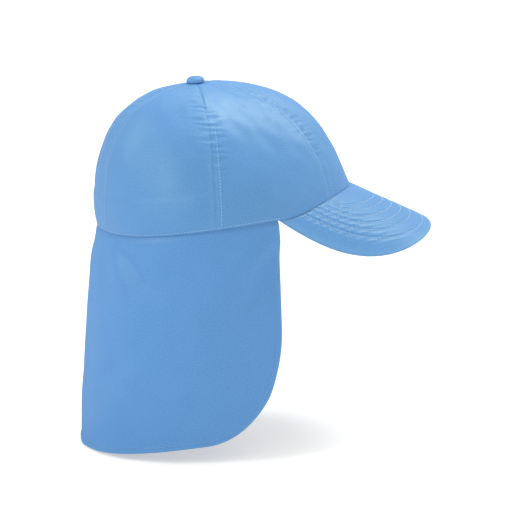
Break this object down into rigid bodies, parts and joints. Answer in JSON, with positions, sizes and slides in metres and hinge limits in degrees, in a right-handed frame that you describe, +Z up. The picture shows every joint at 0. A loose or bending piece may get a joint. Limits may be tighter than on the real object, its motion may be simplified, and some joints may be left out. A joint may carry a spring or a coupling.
{
  "type": "legionnaire cap",
  "caption": "Soft sun cap with a panelled crown, a stiff curved peak in front and a long neck flap that hangs behind and at the sides.",
  "frame": {"origin": "middle of the head opening, level with the crown's rim at the back seam, where the cap sits on the head", "axes": "+X forward over the peak, +Y to the wearer's left, +Z up"},
  "size_m": [0.28, 0.1698, 0.2792],
  "materials": {
    "crown_cotton": "light blue cotton twill, soft sheen",
    "peak_cotton": "light blue cotton twill over a stiff board, rows of stitching",
    "flap_cotton": "light blue cotton twill, single layer, hemmed",
    "band_cotton": "light blue cotton twill, folded band",
    "button_cotton": "light blue cotton twill stretched over a button"
  },
  "bodies": {
    "root": {"front_panel": "crown_cotton", "side_panel_right": "crown_cotton", "side_panel_left": "crown_cotton", "back_panel_right": "crown_cotton", "back_panel_left": "crown_cotton", "peak": "peak_cotton", "neck_flap": "flap_cotton", "sweatband": "band_cotton", "top_button": "button_cotton"}
  },
  "joints": []
}
